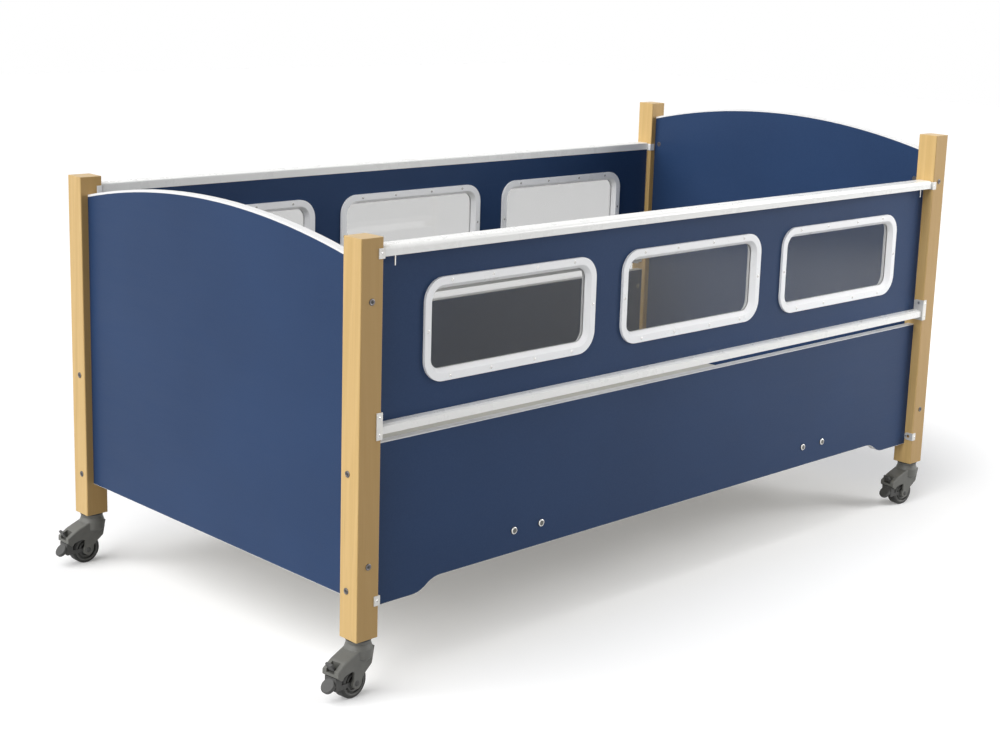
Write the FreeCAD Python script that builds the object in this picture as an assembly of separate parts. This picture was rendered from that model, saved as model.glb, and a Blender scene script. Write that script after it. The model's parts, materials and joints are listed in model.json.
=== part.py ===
import FreeCAD, Part
import math
import os

# Pediatric hospital cot: four corner posts on castors, two arched end boards, two fixed lower
# side panels, and on each long side a windowed gate that folds down outwards once the two spring
# bolts in its top rail are drawn.  Millimetres.  X runs from the foot end to the head end, the
# front side is -Y, Z is up from the floor.  The origin is under the middle of the whole cot.

V = FreeCAD.Vector

# ---------------------------------------------------------------- driving dimensions
# Frame
frame_length = 1972.0          # over the posts, foot to head
frame_width = 1045.0           # over the posts, front to back
post_side = 54.0
post_edge_radius = 3.0
foot_post_length = 792.0
head_post_rise = 100.0         # the head posts stand this much taller
castor_height = 118.5          # floor to the underside of the posts

# End boards
board_thickness = 18.0
board_bottom = 76.5            # above the foot of the posts
board_shoulder_drop = 40.0     # the arch meets the post this far below its top
foot_board_crown = 12.0        # and rises this far above the post top in the middle
head_board_crown = 16.0
board_edging_thickness = 5.0

# Lower side panels, heights above the foot of the posts
side_thickness = 18.0
side_setback = 24.0            # post face back to panel face
side_top = 386.3
side_strip_thickness = 2.0
side_end_bottom = 54.0
side_middle_bottom = 79.5
side_foot_length = 106.0
side_curve_length = 75.0

# Folding gates
slit_height = 22.7             # open slit between lower panel and gate
gate_thickness = 16.0
gate_setback = 26.0
gate_top_drop = 18.5           # foot post top down to the top of the gate
gate_end_gap = 3.5
rail_end_gap = 4.5
rail_setback = 2.5
rail_depth = 40.5
top_rail_height = 20.0
bottom_rail_height = 18.0
rail_bevel_depth = 7.5
rail_front_radius = 8.0
rail_back_radius = 3.0
rail_bevel_drop = 3.0
pivot_setback = 12.5           # post face back to the pivot and bolt line
pivot_rise = 9.5               # pivot above the underside of the bottom rail
latch_rise = 7.5               # bolt line above the underside of the top rail

# Gate windows
window_count = 3
window_length = 482.0
window_height = 210.0
window_radius = 48.0
window_pitch = 567.5
ring_face = 16.0               # flat face of a window ring
ring_bevel = 8.0               # inner bevel, towards the pane
ring_bevel_depth = 10.0
ring_proud = 6.0
ring_lap = 15.0                # how far a ring laps over the panel
pane_thickness = 3.0
pane_fit = 0.5                 # pane and ring spigot inside the cut-out
ring_screw_inset = 8.5
ring_screw_offsets = (62.0, 172.5)
ring_screw_radius = 2.0
ring_screw_head_radius = 3.5
ring_screw_head_height = 1.0

# Hinge brackets and keepers, folded from sheet
sheet_thickness = 2.0
lip_width = 12.5
bracket_height = 54.0          # centred on the joint of bottom rail and panel
bracket_depth = 28.0
keeper_height = 20.0
keeper_depth = 23.5
plate_corner_radius = 7.0
bracket_screw_spacing = 38.0
plate_screw_radius = 2.0
plate_screw_head_radius = 3.5
plate_screw_length = 18.0
keeper_screw_inset = 2.8       # from the rear edge of the keeper
keeper_screw_head_radius = 2.2

# Pivot pins and latch bolts
pivot_radius = 4.0
pivot_in_rail = 40.0
pivot_past_plate = 10.0
running_clearance = 0.05
hole_clearance = 0.5
latch_radius = 4.0
latch_travel = 12.0
latch_recess = 1.0             # bolt end inside the rail when drawn
latch_length = 42.0
latch_spindle_radius = 1.8
latch_spindle_length = 18.0
latch_bore_length = 70.0
finger_pin_radius = 1.5
finger_pin_from_post = 38.0
finger_pin_below_rail = 21.0
finger_slot_clearance = 0.4
spring_wire_radius = 0.6
spring_coil_radius = 3.1
spring_turns = 6
spring_seat_gap = 0.3

# Bolts of the frame
bolt_radius = 4.0
bolt_head_radius = 6.5
bolt_head_height = 4.0
bolt_head_proud = 1.0
bolt_fit = 0.2
nut_radius = 7.0
nut_length = 14.0
nut_from_post = 16.0
board_bolt_low = 150.0
board_bolt_top_drop = 121.0
side_bolt_heights = (98.0, 334.0)

# Mattress base
angle_bolt_height = 127.5
angle_bolt_spacing = 80.5
angle_from_post_end = 386.5    # post inner face to the nearer bolt of an angle
angle_length = 130.0
angle_leg = 42.0
angle_sheet = 3.0
angle_bolt_above_heel = 30.0
cap_radius = 8.0
cap_height = 3.0
angle_bolt_radius = 3.0
angle_nut_radius = 5.5
angle_nut_height = 5.0
base_rail_width = 30.0
base_rail_height = 25.0
base_rail_gap = 11.0           # rail to the upright leg of the angle
base_end_gap = 4.0
batten_count = 6
batten_width = 40.0
deck_board_count = 5
deck_board_gap = 12.0
deck_thickness = 12.0
deck_side_gap = 6.0            # deck edge to the nuts of the angles

# Castors, measured down from the underside of the post
socket_radius = 11.0
socket_depth = 60.0
collar_radius = 25.0
collar_height = 10.0
swivel_gap = 0.4
stem_radius = 5.5
stem_length = 50.0
neck_top_radius = 25.0
neck_radius = 28.5
neck_cone_height = 10.0
neck_depth = 38.0
neck_skirt_depth = 54.0
neck_skirt_radius = 16.0
wheel_radius = 34.0
wheel_width = 26.0
wheel_trail = 23.0
hub_radius = 28.0
hub_web_width = 14.0
tyre_edge_radius = 4.0
axle_radius = 4.0
fork_clearance = 2.5
fork_side_gap = 3.25
fork_cheek = 5.75
boss_radius = 12.0
hood_edge_radius = 4.0
hood_reach = 75.0
hood_top_drop = 19.0           # underside of the post to the level top of the hood
hood_tip_drop = 47.0           # underside of the post to the top of the hood's rear end
hood_tip_height = 13.0
notch_half = 11.0
notch_reach = 58.0
notch_floor_drop = 54.0
pedal_reach = 80.0
pedal_radius = 15.5
pedal_thickness = 9.0
pedal_edge_radius = 2.0
pedal_tilt = 50.0
pedal_drop = 79.0              # underside of the post to the middle of the pedal
pedal_arm_thickness = 2.0
pedal_arm_height = 9.0
pedal_side_gap = 0.75
pedal_lift_gap = 2.0           # under the rear end of the hood
pedal_bore_clearance = 0.3
front_foot_heading = -6.0      # degrees away from trailing straight back to the foot end
front_head_heading = 8.0
back_foot_heading = 0.0
back_head_heading = 6.0

# ---------------------------------------------------------------- derived places
pedal_slope = math.radians(pedal_tilt)
pedal_overhang = (
    pedal_reach + pedal_edge_radius - post_side / 2
    + (pedal_radius - pedal_edge_radius) * math.cos(pedal_slope)
    + (pedal_thickness / 2 - pedal_edge_radius) * math.sin(pedal_slope)
)
neck_overhang = neck_radius - post_side / 2
x_foot = (pedal_overhang - neck_overhang - frame_length) / 2
x_head = x_foot + frame_length
x_mid = (x_foot + x_head) / 2
y_front = -frame_width / 2
z_post = castor_height
head_post_length = foot_post_length + head_post_rise

x_foot_inner = x_foot + post_side
x_head_inner = x_head - post_side
y_front_inner = y_front + post_side
post_middle = post_side / 2

y_side = y_front + side_setback
z_side_top = z_post + side_top
z_rail = z_side_top + slit_height
z_gate = z_rail + bottom_rail_height
z_top_rail = z_post + foot_post_length - gate_top_drop - top_rail_height
gate_panel_height = z_top_rail - z_gate
z_window = z_gate + gate_panel_height / 2
y_gate = y_front + gate_setback
y_rail = y_front + rail_setback
y_pivot = y_front + pivot_setback
z_pivot = z_rail + pivot_rise
z_latch = z_top_rail + latch_rise
z_latch_folded = 2 * z_pivot - z_latch
x_rail_foot = x_foot_inner + rail_end_gap
x_rail_head = x_head_inner - rail_end_gap

z_heel = z_post + angle_bolt_height - angle_bolt_above_heel
y_angle = y_side + side_thickness
y_base_rail = y_angle + angle_sheet + base_rail_gap
z_base_rail = z_heel + angle_sheet
z_deck = z_base_rail + base_rail_height
x_base_start = x_foot + (post_side + board_thickness) / 2 + base_end_gap
x_base_end = x_head - (post_side + board_thickness) / 2 - base_end_gap
angle_starts = (
    x_foot_inner + angle_from_post_end,
    x_head_inner - angle_from_post_end - angle_bolt_spacing,
)


# ---------------------------------------------------------------- shape helpers
def block(x0, y0, z0, x1, y1, z1):
    return Part.makeBox(x1 - x0, y1 - y0, z1 - z0, V(x0, y0, z0))


def rod(radius, start, direction, length):
    return Part.makeCylinder(radius, length, start, direction)


def outline(corners):
    return Part.Face(Part.makePolygon([V(*corner) for corner in corners + corners[:1]]))


def swap_sides(shape):
    return shape.mirror(V(0, 0, 0), V(0, 1, 0))


def swap_ends(shape):
    return shape.mirror(V(x_mid, 0, 0), V(1, 0, 0))


def round_upright_edges(shape, radius):
    upright = []
    for edge in shape.Edges:
        first = edge.Vertexes[0].Point
        last = edge.Vertexes[-1].Point
        if abs(first.z - last.z) > 2 * radius and abs(first.x - last.x) < 1e-6:
            upright.append(edge)
    return shape.makeFillet(radius, upright)


def save(name, shapes):
    solids = []
    for shape in shapes:
        solids.extend(shape.Solids)
    if len(solids) == 1:
        result = solids[0]
    else:
        result = Part.makeCompound(solids)
    result.exportStep("parts/" + name + ".step")


# ---------------------------------------------------------------- posts and their bolts
def board_bolt_heights(length):
    return (z_post + board_bolt_low, z_post + length - board_bolt_top_drop)


def frame_bolt(start, direction):
    """Flanged furniture bolt from a post's outer face into a barrel nut past its inner face."""
    head_start = start - direction * bolt_head_proud
    shank_end = post_side + nut_from_post + bolt_head_proud
    head = rod(bolt_head_radius, head_start, direction, bolt_head_height)
    return head.fuse(rod(bolt_radius, head_start, direction, shank_end))


def frame_bolt_hole(start, direction):
    recess = rod(bolt_head_radius + bolt_fit, start, direction, bolt_head_height - bolt_head_proud)
    return recess.fuse(rod(bolt_radius + bolt_fit, start, direction, post_side))


def front_foot_bolt_places(length):
    """Start point and direction of each bolt of the front foot post."""
    places = []
    for height in board_bolt_heights(length):
        places.append((V(x_foot + post_middle, y_front, height), V(0, 1, 0)))
    for height in side_bolt_heights:
        places.append((V(x_foot, y_side + side_thickness / 2, z_post + height), V(1, 0, 0)))
    return places


def front_foot_post(length):
    post = block(x_foot, y_front, z_post, x_foot_inner, y_front_inner, z_post + length)
    post = round_upright_edges(post, post_edge_radius)
    centre = V(x_foot + post_middle, y_front + post_middle, z_post)
    holes = [rod(socket_radius, centre, V(0, 0, 1), socket_depth)]
    for start, direction in front_foot_bolt_places(length):
        holes.append(frame_bolt_hole(start, direction))
    latch_depth = latch_travel - latch_recess - rail_end_gap + 1
    for height in (z_latch, z_latch_folded):
        mouth = V(x_foot_inner - latch_depth, y_pivot, height)
        holes.append(rod(latch_radius + hole_clearance, mouth, V(1, 0, 0), latch_depth))
    mouth = V(x_foot_inner - pivot_past_plate, y_pivot, z_pivot)
    holes.append(rod(pivot_radius + hole_clearance, mouth, V(1, 0, 0), pivot_past_plate))
    return post.cut(holes + bracket_screws() + keeper_screws())


def barrel_nut(middle, depth_direction):
    """Cross dowel, drilled for its bolt; middle lies on the bolt's line at the panel's face."""
    return rod(nut_radius, middle, depth_direction, nut_length)


def board_nut_places(length):
    """Barrel nuts of the foot board's front end, on its inner face."""
    x_face = x_foot + (post_side + board_thickness) / 2
    return [V(x_face, y_front_inner + nut_from_post, height) for height in board_bolt_heights(length)]


def side_nut_places():
    y_face = y_side + side_thickness
    return [V(x_foot_inner + nut_from_post, y_face, z_post + height) for height in side_bolt_heights]


def make_posts_and_bolts():
    bolts = []
    nuts = []
    for length, end, place in (
        (foot_post_length, "foot", lambda shape: shape),
        (head_post_length, "head", swap_ends),
    ):
        post = place(front_foot_post(length))
        save("post_" + end + "_front", [post])
        save("post_" + end + "_back", [swap_sides(post)])
        end_bolts = [frame_bolt(*where) for where in front_foot_bolt_places(length)]
        end_nuts = [barrel_nut(where, V(-1, 0, 0)) for where in board_nut_places(length)]
        end_nuts += [barrel_nut(where, V(0, -1, 0)) for where in side_nut_places()]
        end_nuts = [nut.cut(end_bolts) for nut in end_nuts]
        for shape in end_bolts:
            bolts += [place(shape), swap_sides(place(shape))]
        for shape in end_nuts:
            nuts += [place(shape), swap_sides(place(shape))]
    save("frame_bolts", bolts)
    save("barrel_nuts", nuts)


# ---------------------------------------------------------------- end boards
def arch_face(length, crown, drop, x):
    """Upright face of an end board at x, its arch lowered by drop."""
    half = -y_front_inner
    shoulder = z_post + length - board_shoulder_drop
    apex = z_post + length + crown
    rise = apex - shoulder
    radius = (half * half + rise * rise) / (2 * rise)
    lowered = radius - drop
    z_centre = apex - radius
    z_end = z_centre + math.sqrt(lowered * lowered - half * half)
    low = z_post + board_bottom
    arc = Part.Arc(V(x, -half, z_end), V(x, 0, z_centre + lowered), V(x, half, z_end)).toShape()
    sides = Part.makePolygon([V(x, half, z_end), V(x, half, low), V(x, -half, low), V(x, -half, z_end)])
    return Part.Face(Part.Wire([arc] + sides.Edges))


def make_end_board(length, crown, end, place):
    x_outer = x_foot + (post_side - board_thickness) / 2
    depth = V(board_thickness, 0, 0)
    board = arch_face(length, crown, board_edging_thickness, x_outer).extrude(depth)
    edging = arch_face(length, crown, 0, x_outer).extrude(depth).cut(board)
    holes = []
    for height in board_bolt_heights(length):
        start = V(x_foot + post_middle, y_front_inner, height)
        holes.append(rod(bolt_radius + bolt_fit, start, V(0, 1, 0), nut_from_post))
    for where in board_nut_places(length):
        holes.append(rod(nut_radius, where, V(-1, 0, 0), nut_length))
    holes += [swap_sides(hole) for hole in holes]
    save(end + "_board", [place(board.cut(holes))])
    save(end + "_board_edging", [place(edging)])


# ---------------------------------------------------------------- lower side panels
def s_curve(x0, z0, x1, z1, y):
    """Two tangent arcs that carry an edge level at both ends from one height to another."""
    half_run = (x1 - x0) / 2
    half_rise = (z1 - z0) / 2
    radius = (half_run ** 2 + half_rise ** 2) / (2 * abs(half_rise))
    turn = math.asin(abs(half_run) / radius) / 2
    side = math.copysign(radius * math.sin(turn), half_run)
    lift = math.copysign(radius * (1 - math.cos(turn)), half_rise)
    middle = V(x0 + half_run, y, z0 + half_rise)
    first = Part.Arc(V(x0, y, z0), V(x0 + side, y, z0 + lift), middle).toShape()
    second = Part.Arc(middle, V(x1 - side, y, z1 - lift), V(x1, y, z1)).toShape()
    return [first, second]


def side_panel():
    low = z_post + side_end_bottom
    high = z_post + side_middle_bottom
    top = z_side_top - side_strip_thickness
    x_curve = x_foot_inner + side_foot_length
    x_flat = x_curve + side_curve_length
    x_flat_end = x_head_inner - side_foot_length - side_curve_length
    x_curve_end = x_head_inner - side_foot_length
    edges = Part.makePolygon([V(x_foot_inner, y_side, low), V(x_curve, y_side, low)]).Edges
    edges += s_curve(x_curve, low, x_flat, high, y_side)
    edges += Part.makePolygon([V(x_flat, y_side, high), V(x_flat_end, y_side, high)]).Edges
    edges += s_curve(x_flat_end, high, x_curve_end, low, y_side)
    edges += Part.makePolygon([
        V(x_curve_end, y_side, low),
        V(x_head_inner, y_side, low),
        V(x_head_inner, y_side, top),
        V(x_foot_inner, y_side, top),
        V(x_foot_inner, y_side, low),
    ]).Edges
    panel = Part.Face(Part.Wire(edges)).extrude(V(0, side_thickness, 0))
    holes = []
    for height in side_bolt_heights:
        start = V(x_foot_inner, y_side + side_thickness / 2, z_post + height)
        holes.append(rod(bolt_radius + bolt_fit, start, V(1, 0, 0), nut_from_post))
    for where in side_nut_places():
        holes.append(rod(nut_radius, where, V(0, -1, 0), nut_length))
    holes += [swap_ends(hole) for hole in holes]
    for x_bolt in angle_bolt_places():
        start = V(x_bolt, y_side, z_post + angle_bolt_height)
        holes.append(rod(angle_bolt_radius + bolt_fit, start, V(0, 1, 0), side_thickness))
    return panel.cut(holes)


def make_side_panels():
    panel = side_panel()
    strip = block(
        x_foot_inner, y_side, z_side_top - side_strip_thickness,
        x_head_inner, y_side + side_thickness, z_side_top,
    )
    save("side_panel_front", [panel])
    save("side_panel_back", [swap_sides(panel)])
    save("side_panel_edgings", [strip, swap_sides(strip)])


# ---------------------------------------------------------------- mattress base
def angle_bolt_places():
    return [start + step for start in angle_starts for step in (0, angle_bolt_spacing)]


def base_angle(start):
    x0 = start + angle_bolt_spacing / 2 - angle_length / 2
    x1 = x0 + angle_length
    upright = block(x0, y_angle, z_heel, x1, y_angle + angle_sheet, z_heel + angle_leg)
    shelf = block(x0, y_angle, z_heel, x1, y_angle + angle_leg, z_heel + angle_sheet)
    holes = []
    for x_bolt in (start, start + angle_bolt_spacing):
        where = V(x_bolt, y_angle, z_post + angle_bolt_height)
        holes.append(rod(angle_bolt_radius + bolt_fit, where, V(0, 1, 0), angle_sheet))
    return upright.fuse(shelf).removeSplitter().cut(holes)


def angle_bolt(x_bolt):
    """Cap head outside the panel, shank through it and the angle, nut inside."""
    face = V(x_bolt, y_side, z_post + angle_bolt_height)
    cap = rod(cap_radius, face - V(0, cap_height, 0), V(0, 1, 0), cap_height)
    rim = [edge for edge in cap.Edges if abs(edge.BoundBox.YMax - (y_side - cap_height)) < 1e-3]
    cap = cap.makeFillet(cap_height / 2, rim)
    grip = side_thickness + angle_sheet
    shank = rod(angle_bolt_radius, face, V(0, 1, 0), grip)
    nut = rod(angle_nut_radius, face + V(0, grip, 0), V(0, 1, 0), angle_nut_height)
    return cap.fuse([shank, nut])


def make_mattress_base():
    angles = [base_angle(start) for start in angle_starts]
    bolts = [angle_bolt(x_bolt) for x_bolt in angle_bolt_places()]
    rail = block(
        x_base_start, y_base_rail, z_base_rail,
        x_base_end, y_base_rail + base_rail_width, z_deck,
    )
    batten_half = -(y_base_rail + base_rail_width)
    pitch = (x_base_end - x_base_start - batten_width) / (batten_count - 1)
    battens = []
    for index in range(batten_count):
        x0 = x_base_start + index * pitch
        battens.append(block(x0, -batten_half, z_base_rail, x0 + batten_width, batten_half, z_deck))
    deck_half = -(y_angle + angle_sheet + angle_nut_height + deck_side_gap)
    board_pitch = (2 * deck_half + deck_board_gap) / deck_board_count
    boards = []
    for index in range(deck_board_count):
        y0 = -deck_half + index * board_pitch
        y1 = y0 + board_pitch - deck_board_gap
        boards.append(block(x_base_start, y0, z_deck, x_base_end, y1, z_deck + deck_thickness))
    save("base_angles", angles + [swap_sides(shape) for shape in angles])
    save("base_angle_bolts", bolts + [swap_sides(shape) for shape in bolts])
    save("base_rails", [rail, swap_sides(rail)])
    save("base_battens", battens)
    save("base_boards", boards)


# ---------------------------------------------------------------- hinge brackets and keepers
def folded_plate(depth, height, z_centre, z_hole, hole_radius):
    """Plate on the post's inner face with a lip folded round onto its front face."""
    z0 = z_centre - height / 2
    z1 = z_centre + height / 2
    y_lip = y_front - sheet_thickness
    web = block(x_foot_inner, y_lip, z0, x_foot_inner + sheet_thickness, y_front + depth, z1)
    rear = []
    for edge in web.Edges:
        box = edge.BoundBox
        if box.YMin > y_front + depth - 1e-3 and box.ZLength < 1e-3 and box.XLength > 1e-3:
            rear.append(edge)
    web = web.makeFillet(plate_corner_radius, rear)
    lip = block(x_foot_inner - lip_width, y_lip, z0, x_foot_inner, y_front, z1)
    hole = rod(hole_radius, V(x_foot_inner, y_pivot, z_hole), V(1, 0, 0), sheet_thickness)
    return web.fuse(lip).removeSplitter().cut(hole)


def plate_screw(y, z, head_radius):
    """Countersunk screw, its head flush with the plate and its shank in the post."""
    face = V(x_foot_inner + sheet_thickness, y, z)
    sink = head_radius - plate_screw_radius
    head = Part.makeCone(head_radius, plate_screw_radius, sink, face, V(-1, 0, 0))
    return head.fuse(rod(plate_screw_radius, face, V(-1, 0, 0), plate_screw_length))


def bracket_screws():
    offset = bracket_screw_spacing / 2
    heights = (z_gate - offset, z_gate + offset)
    return [plate_screw(y_pivot, height, plate_screw_head_radius) for height in heights]


def keeper_screws():
    y = y_front + keeper_depth - keeper_screw_inset
    return [plate_screw(y, height, keeper_screw_head_radius) for height in (z_latch, z_latch_folded)]


def make_brackets_and_keepers():
    bracket = folded_plate(bracket_depth, bracket_height, z_gate, z_pivot, pivot_radius + running_clearance)
    keepers = []
    for height in (z_latch, z_latch_folded):
        keeper = folded_plate(keeper_depth, keeper_height, height, height, latch_radius + hole_clearance)
        keepers.append(keeper.cut(keeper_screws()))
    for name, shapes in (
        ("hinge_brackets", [bracket.cut(bracket_screws())]),
        ("gate_keepers", keepers),
        ("plate_screws", bracket_screws() + keeper_screws()),
    ):
        shapes = shapes + [swap_ends(shape) for shape in shapes]
        save(name, shapes + [swap_sides(shape) for shape in shapes])


# ---------------------------------------------------------------- gates
def rounded_wire(x_centre, y, length, height, radius):
    """Upright rounded rectangle round the window centre, in the plane of the gate."""
    x0 = x_centre - length / 2
    z0 = z_window - height / 2
    slab = block(x0, y, z0, x0 + length, y + 1, z0 + height)
    corners = [edge for edge in slab.Edges if edge.BoundBox.YLength > 0.5]
    slab = slab.makeFillet(radius, corners)
    return min(slab.Faces, key=lambda face: face.CenterOfMass.y).OuterWire


def inset_wire(x_centre, y, inset):
    return rounded_wire(
        x_centre, y, window_length - 2 * inset, window_height - 2 * inset, window_radius - inset
    )


def inset_prism(x_centre, y0, y1, inset):
    return Part.Face(inset_wire(x_centre, y0, inset)).extrude(V(0, y1 - y0, 0))


def window_centres():
    first = x_mid - window_pitch * (window_count - 1) / 2
    return [first + index * window_pitch for index in range(window_count)]


def ring_screw_places(x_centre):
    along = window_length / 2 - ring_screw_inset
    across = window_height / 2 - ring_screw_inset
    places = [(x_centre - along, z_window), (x_centre + along, z_window)]
    for offset in ring_screw_offsets:
        for x in (x_centre - offset, x_centre + offset):
            places += [(x, z_window - across), (x, z_window + across)]
    return places


def window_ring(x_centre):
    """Ring lapped on the panel's outer face, its spigot in the cut-out as far as the pane."""
    y_face = y_gate - ring_proud
    y_pane = y_gate + (gate_thickness - pane_thickness) / 2
    flange = inset_prism(x_centre, y_face, y_gate, 0)
    spigot = inset_prism(x_centre, y_gate, y_pane, ring_lap + pane_fit)
    opening = ring_face + ring_bevel
    bevel = Part.makeLoft([
        inset_wire(x_centre, y_face, ring_face),
        inset_wire(x_centre, y_face + ring_bevel_depth, opening),
    ], True, True)
    throat = inset_prism(x_centre, y_face, y_pane, opening)
    ring = flange.fuse(spigot).cut([bevel, throat])
    return ring.cut(ring_screw_holes(x_centre))


def ring_screw_holes(x_centre):
    y0 = y_gate - ring_proud
    through = gate_thickness + 2 * ring_proud
    radius = ring_screw_radius
    return [rod(radius, V(x, y0, z), V(0, 1, 0), through) for x, z in ring_screw_places(x_centre)]


def ring_screws(x_centre):
    """Screws with low heads on both rings, the inner head being a sleeve nut."""
    y0 = y_gate - ring_proud
    y1 = y_gate + gate_thickness + ring_proud
    screws = []
    for x, z in ring_screw_places(x_centre):
        tip = V(x, y0 - ring_screw_head_height, z)
        head = Part.makeCone(
            ring_screw_radius, ring_screw_head_radius, ring_screw_head_height, tip, V(0, 1, 0)
        )
        shank = rod(ring_screw_radius, V(x, y0, z), V(0, 1, 0), y1 - y0)
        nut = Part.makeCone(
            ring_screw_head_radius, ring_screw_radius, ring_screw_head_height, V(x, y1, z), V(0, 1, 0)
        )
        screws.append(head.fuse([shank, nut]))
    return screws


def gate_panel():
    panel = block(
        x_foot_inner + gate_end_gap, y_gate, z_gate,
        x_head_inner - gate_end_gap, y_gate + gate_thickness, z_top_rail,
    )
    tools = []
    for x_centre in window_centres():
        tools.append(inset_prism(x_centre, y_gate, y_gate + gate_thickness, ring_lap))
        tools += ring_screw_holes(x_centre)
    return panel.cut(tools)


def rail_prism(section):
    corners = [(x_rail_foot, y, z) for y, z in section]
    return outline(corners).extrude(V(x_rail_head - x_rail_foot, 0, 0))


def bottom_rail():
    y_back = y_rail + rail_depth
    rail = rail_prism([
        (y_rail, z_rail),
        (y_back, z_rail),
        (y_back, z_gate),
        (y_rail + rail_bevel_depth, z_gate),
        (y_rail, z_gate - rail_bevel_drop),
    ])
    bore = rod(pivot_radius, V(x_rail_foot, y_pivot, z_pivot), V(1, 0, 0), pivot_in_rail)
    return rail.cut([bore, swap_ends(bore)])


def at_height(edge, z):
    return edge.BoundBox.ZMin > z - 1e-3


def top_rail():
    z_top = z_top_rail + top_rail_height
    rail = block(x_rail_foot, y_rail, z_top_rail, x_rail_head, y_rail + rail_depth, z_top)
    front_edge = [edge for edge in rail.Edges if at_height(edge, z_top) and edge.BoundBox.YMax < y_rail + 1]
    rail = rail.makeFillet(rail_front_radius, front_edge)
    y_back = y_rail + rail_depth
    back_edge = [edge for edge in rail.Edges if at_height(edge, z_top) and edge.BoundBox.YMin > y_back - 1]
    rail = rail.makeFillet(rail_back_radius, back_edge)
    bore_radius = latch_radius + running_clearance
    bore = rod(bore_radius, V(x_rail_foot, y_pivot, z_latch), V(1, 0, 0), latch_bore_length)
    gap = finger_pin_radius + finger_slot_clearance
    x_pin = x_foot_inner + finger_pin_from_post
    slot = block(x_pin - latch_travel - gap, y_pivot - gap, z_top_rail, x_pin + gap, y_pivot + gap, z_latch)
    return rail.cut([bore, slot, swap_ends(bore), swap_ends(slot)])


def pivot_pin():
    start = x_foot_inner - pivot_past_plate + hole_clearance
    length = x_rail_foot + pivot_in_rail - start
    return rod(pivot_radius, V(start, y_pivot, z_pivot), V(1, 0, 0), length)


def latch_bolt():
    """Bolt drawn into the rail, with the spindle that carries its spring and its finger pin."""
    x_tip = x_rail_foot + latch_recess
    bolt = rod(latch_radius, V(x_tip, y_pivot, z_latch), V(1, 0, 0), latch_length)
    x_shoulder = x_tip + latch_length
    spindle = rod(latch_spindle_radius, V(x_shoulder, y_pivot, z_latch), V(1, 0, 0), latch_spindle_length)
    x_pin = x_foot_inner + finger_pin_from_post
    z_pin = z_top_rail - finger_pin_below_rail
    pin = rod(finger_pin_radius, V(x_pin, y_pivot, z_pin), V(0, 0, 1), z_latch - z_pin)
    return bolt.fuse([spindle, pin])


def latch_spring():
    """Compression spring between the bolt's shoulder and the end of the bore."""
    x_shoulder = x_rail_foot + latch_recess + latch_length
    x_end = x_rail_foot + latch_bore_length
    seat = spring_seat_gap + spring_wire_radius
    coil_length = x_end - x_shoulder - 2 * seat
    path = Part.makeHelix(coil_length / spring_turns, coil_length, spring_coil_radius)
    wire = Part.Wire(Part.makeCircle(spring_wire_radius, V(spring_coil_radius, 0, 0), V(0, 1, 0)))
    spring = Part.Wire(path).makePipeShell([wire], True, True)
    spring.rotate(V(0, 0, 0), V(0, 1, 0), 90)
    spring.translate(V(x_shoulder + seat, y_pivot, z_latch))
    return spring


def make_gates():
    rings = [window_ring(x_centre) for x_centre in window_centres()]
    y_middle = y_gate + gate_thickness / 2
    inner_rings = [ring.mirror(V(0, y_middle, 0), V(0, 1, 0)) for ring in rings]
    y_pane = y_middle - pane_thickness / 2
    panes = []
    screws = []
    for x_centre in window_centres():
        panes.append(inset_prism(x_centre, y_pane, y_pane + pane_thickness, ring_lap + pane_fit))
        screws += ring_screws(x_centre)
    spring = latch_spring()
    pin = pivot_pin()
    pieces = {
        "panel": [gate_panel()],
        "bottom_rail": [bottom_rail()],
        "top_rail": [top_rail()],
        "window_rings_outer": rings,
        "window_rings_inner": inner_rings,
        "window_panes": panes,
        "window_screws": screws,
        "pivot_pins": [pin, swap_ends(pin)],
        "latch_springs": [spring, swap_ends(spring)],
    }
    for name, shapes in pieces.items():
        save("gate_front_" + name, shapes)
        save("gate_back_" + name, [swap_sides(shape) for shape in shapes])
    bolt = latch_bolt()
    save("latch_bolt_front_foot", [bolt])
    save("latch_bolt_front_head", [swap_ends(bolt)])
    save("latch_bolt_back_foot", [swap_sides(bolt)])
    save("latch_bolt_back_head", [swap_ends(swap_sides(bolt))])


# ---------------------------------------------------------------- castors
# Built with the swivel axis on Z through the origin, the underside of the post at z = 0 and the
# wheel trailing towards -X.
wheel_centre = V(-wheel_trail, 0, wheel_radius - castor_height)
slot_half = wheel_width / 2 + fork_side_gap
fork_half = slot_half + fork_cheek


def socket():
    sleeve = rod(socket_radius, V(0, 0, 0), V(0, 0, 1), socket_depth)
    collar = rod(collar_radius, V(0, 0, -collar_height), V(0, 0, 1), collar_height)
    bore = rod(stem_radius + running_clearance, V(0, 0, -collar_height), V(0, 0, 1),
               collar_height + socket_depth)
    return collar.fuse(sleeve).cut(bore)


def hood_outline():
    """Side view of the housing: hood falling away to a blunt tip, arched cheek, leg to the axle."""
    z_axle = wheel_centre.z
    z_tip = -hood_tip_drop - hood_tip_height
    z_arch = z_axle + wheel_radius * 0.82
    x_leg = wheel_centre.x - boss_radius * 0.7
    corners = [
        (neck_radius * 0.8, -hood_top_drop),
        (-neck_radius * 0.7, -hood_top_drop),
        (-hood_reach * 0.72, -hood_tip_drop * 0.71),
        (-hood_reach, -hood_tip_drop),
        (-hood_reach, z_tip),
        (-hood_reach * 0.88, z_tip - 7),
        (-hood_reach * 0.83, z_tip - 7),
        (-hood_reach * 0.79, z_arch - 5),
        (-hood_reach * 0.66, z_arch - 1.5),
        (-hood_reach * 0.5, z_arch),
        (x_leg, z_arch - 3),
        (x_leg, z_axle),
        (wheel_centre.x + boss_radius, z_axle),
        (wheel_centre.x + boss_radius * 1.3, z_axle + 12),
        (neck_skirt_radius, -neck_skirt_depth),
    ]
    return outline([(x, -fork_half, z) for x, z in corners])


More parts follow.
